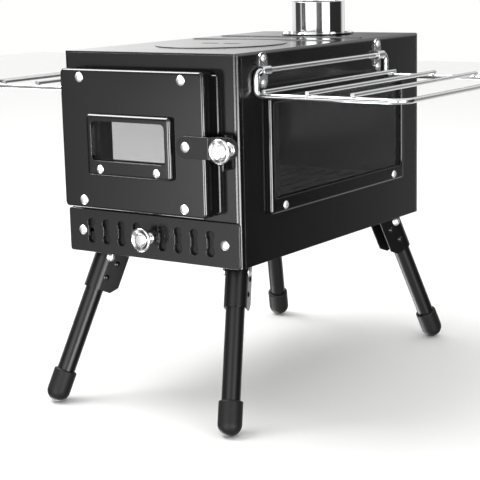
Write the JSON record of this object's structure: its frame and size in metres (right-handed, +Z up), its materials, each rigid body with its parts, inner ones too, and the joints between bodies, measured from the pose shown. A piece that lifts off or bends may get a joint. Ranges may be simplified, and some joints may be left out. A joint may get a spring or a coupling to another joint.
{
  "type": "tent wood stove",
  "caption": "Compact box wood stove with glazed side walls and door, sliding air damper, lift-off hotplate, flue collar, fold-up side racks and splayed folding legs.",
  "frame": {"origin": "On the ground, under the middle of the whole stove as it stands: centre of the bounding box in X and Y, and the soles of the feet in Z.", "axes": "+X to the right of someone facing the door, along the width over both racks; +Y from the door to the back; +Z up."},
  "size_m": [0.505, 0.4172, 0.374],
  "materials": {
    "body_paint": "semi-gloss black high-temperature paint",
    "door_paint": "semi-gloss black high-temperature paint",
    "frame_paint": "semi-gloss black high-temperature paint",
    "leg_paint": "semi-gloss black high-temperature paint",
    "bracket_paint": "semi-gloss black high-temperature paint",
    "polished_steel": "mirror-polished stainless steel",
    "bright_steel": "satin stainless steel",
    "knob_chrome": "polished, turned",
    "screw_steel": "bright plated",
    "dark_screw": "blackened",
    "grate_iron": "raw",
    "stove_glass": "smoke-tinted ceramic glass",
    "rope_seal": "woven fibreglass rope",
    "foot_rubber": "matte"
  },
  "bodies": {
    "firebox": {"firebox_shell": "body_paint", "front_panel": "body_paint", "back_panel": "body_paint", "floor_plate": "body_paint", "fire_grate": "grate_iron", "grate_ledges": "body_paint", "door_seat": "body_paint", "hotplate_seat": "body_paint", "flue_collar": "polished_steel", "flue_flange": "body_paint", "flue_screws": "screw_steel", "intake_panel": "body_paint", "intake_rivets": "screw_steel", "side_frame_right": "frame_paint", "side_frame_left": "frame_paint", "side_glass_right": "stove_glass", "side_glass_left": "stove_glass", "side_frame_screws": "screw_steel", "rack_clips_right": "bright_steel", "rack_clips_left": "bright_steel", "rack_clip_screws": "screw_steel", "hinge_lugs": "frame_paint", "hinge_pins": "screw_steel", "latch_keeper": "frame_paint", "keeper_rivets": "screw_steel", "leg_pivots": "screw_steel", "bracket_studs": "dark_screw", "leg_bracket_front_left": "bracket_paint", "leg_bracket_front_right": "bracket_paint", "leg_bracket_rear_left": "bracket_paint", "leg_bracket_rear_right": "bracket_paint"},
    "door": {"door_cover": "door_paint", "door_pan": "door_paint", "door_gasket": "rope_seal", "door_rivets": "screw_steel", "door_window_frame": "frame_paint", "door_glass": "stove_glass", "door_window_screws": "screw_steel", "door_knuckles": "frame_paint", "latch_rivet": "screw_steel"},
    "latch": {"latch_strap": "door_paint", "latch_knob": "knob_chrome", "latch_knob_cap": "knob_chrome"},
    "damper": {"damper": "body_paint", "damper_knob": "knob_chrome", "damper_screw": "knob_chrome"},
    "hotplate": {"hotplate_lid": "body_paint"},
    "rack_right": {"rack_frame_right": "bright_steel", "rack_bars_right": "bright_steel"},
    "rack_left": {"rack_frame_left": "bright_steel", "rack_bars_left": "bright_steel"},
    "leg_front_left": {"leg_tube_front_left": "leg_paint", "foot_front_left": "foot_rubber"},
    "leg_front_right": {"leg_tube_front_right": "leg_paint", "foot_front_right": "foot_rubber"},
    "leg_rear_left": {"leg_tube_rear_left": "leg_paint", "foot_rear_left": "foot_rubber"},
    "leg_rear_right": {"leg_tube_rear_right": "leg_paint", "foot_rear_right": "foot_rubber"}
  },
  "joints": [
    {"name": "door_hinge", "type": "hinge", "parent": "firebox", "child": "door", "pos_m": [-0.094, -0.175, 0.2585], "axis": [0, 0, -1], "range_deg": [0, 110]},
    {"name": "latch_pivot", "type": "hinge", "parent": "door", "child": "latch", "pos_m": [0.056, -0.188, 0.2575], "axis": [0, -1, 0], "range_deg": [0, 15]},
    {"name": "damper_slide", "type": "slide", "parent": "firebox", "child": "damper", "axis": [-1, 0, 0], "range_m": [0, 0.00915]},
    {"name": "hotplate_lift", "type": "slide", "parent": "firebox", "child": "hotplate", "axis": [0, 0, 1], "range_m": [0, 0.06]},
    {"name": "rack_right_fold", "type": "hinge", "parent": "firebox", "child": "rack_right", "pos_m": [0.10285, -0.0265, 0.322], "axis": [0, -1, 0], "range_deg": [0, 100]},
    {"name": "rack_left_fold", "type": "hinge", "parent": "firebox", "child": "rack_left", "pos_m": [-0.10285, -0.0265, 0.322], "axis": [0, 1, 0], "range_deg": [0, 100]},
    {"name": "leg_front_left_fold", "type": "hinge", "parent": "firebox", "child": "leg_front_left", "pos_m": [-0.078, -0.146, 0.1385], "axis": [0.9063, -0.4226, 0], "range_deg": [0, 110]},
    {"name": "leg_front_right_fold", "type": "hinge", "parent": "firebox", "child": "leg_front_right", "pos_m": [0.078, -0.146, 0.1385], "axis": [0.9063, 0.4226, 0], "range_deg": [0, 110]},
    {"name": "leg_rear_left_fold", "type": "hinge", "parent": "firebox", "child": "leg_rear_left", "pos_m": [-0.078, 0.146, 0.1385], "axis": [-0.9063, -0.4226, 0], "range_deg": [0, 110]},
    {"name": "leg_rear_right_fold", "type": "hinge", "parent": "firebox", "child": "leg_rear_right", "pos_m": [0.078, 0.146, 0.1385], "axis": [-0.9063, 0.4226, 0], "range_deg": [0, 110]}
  ]
}
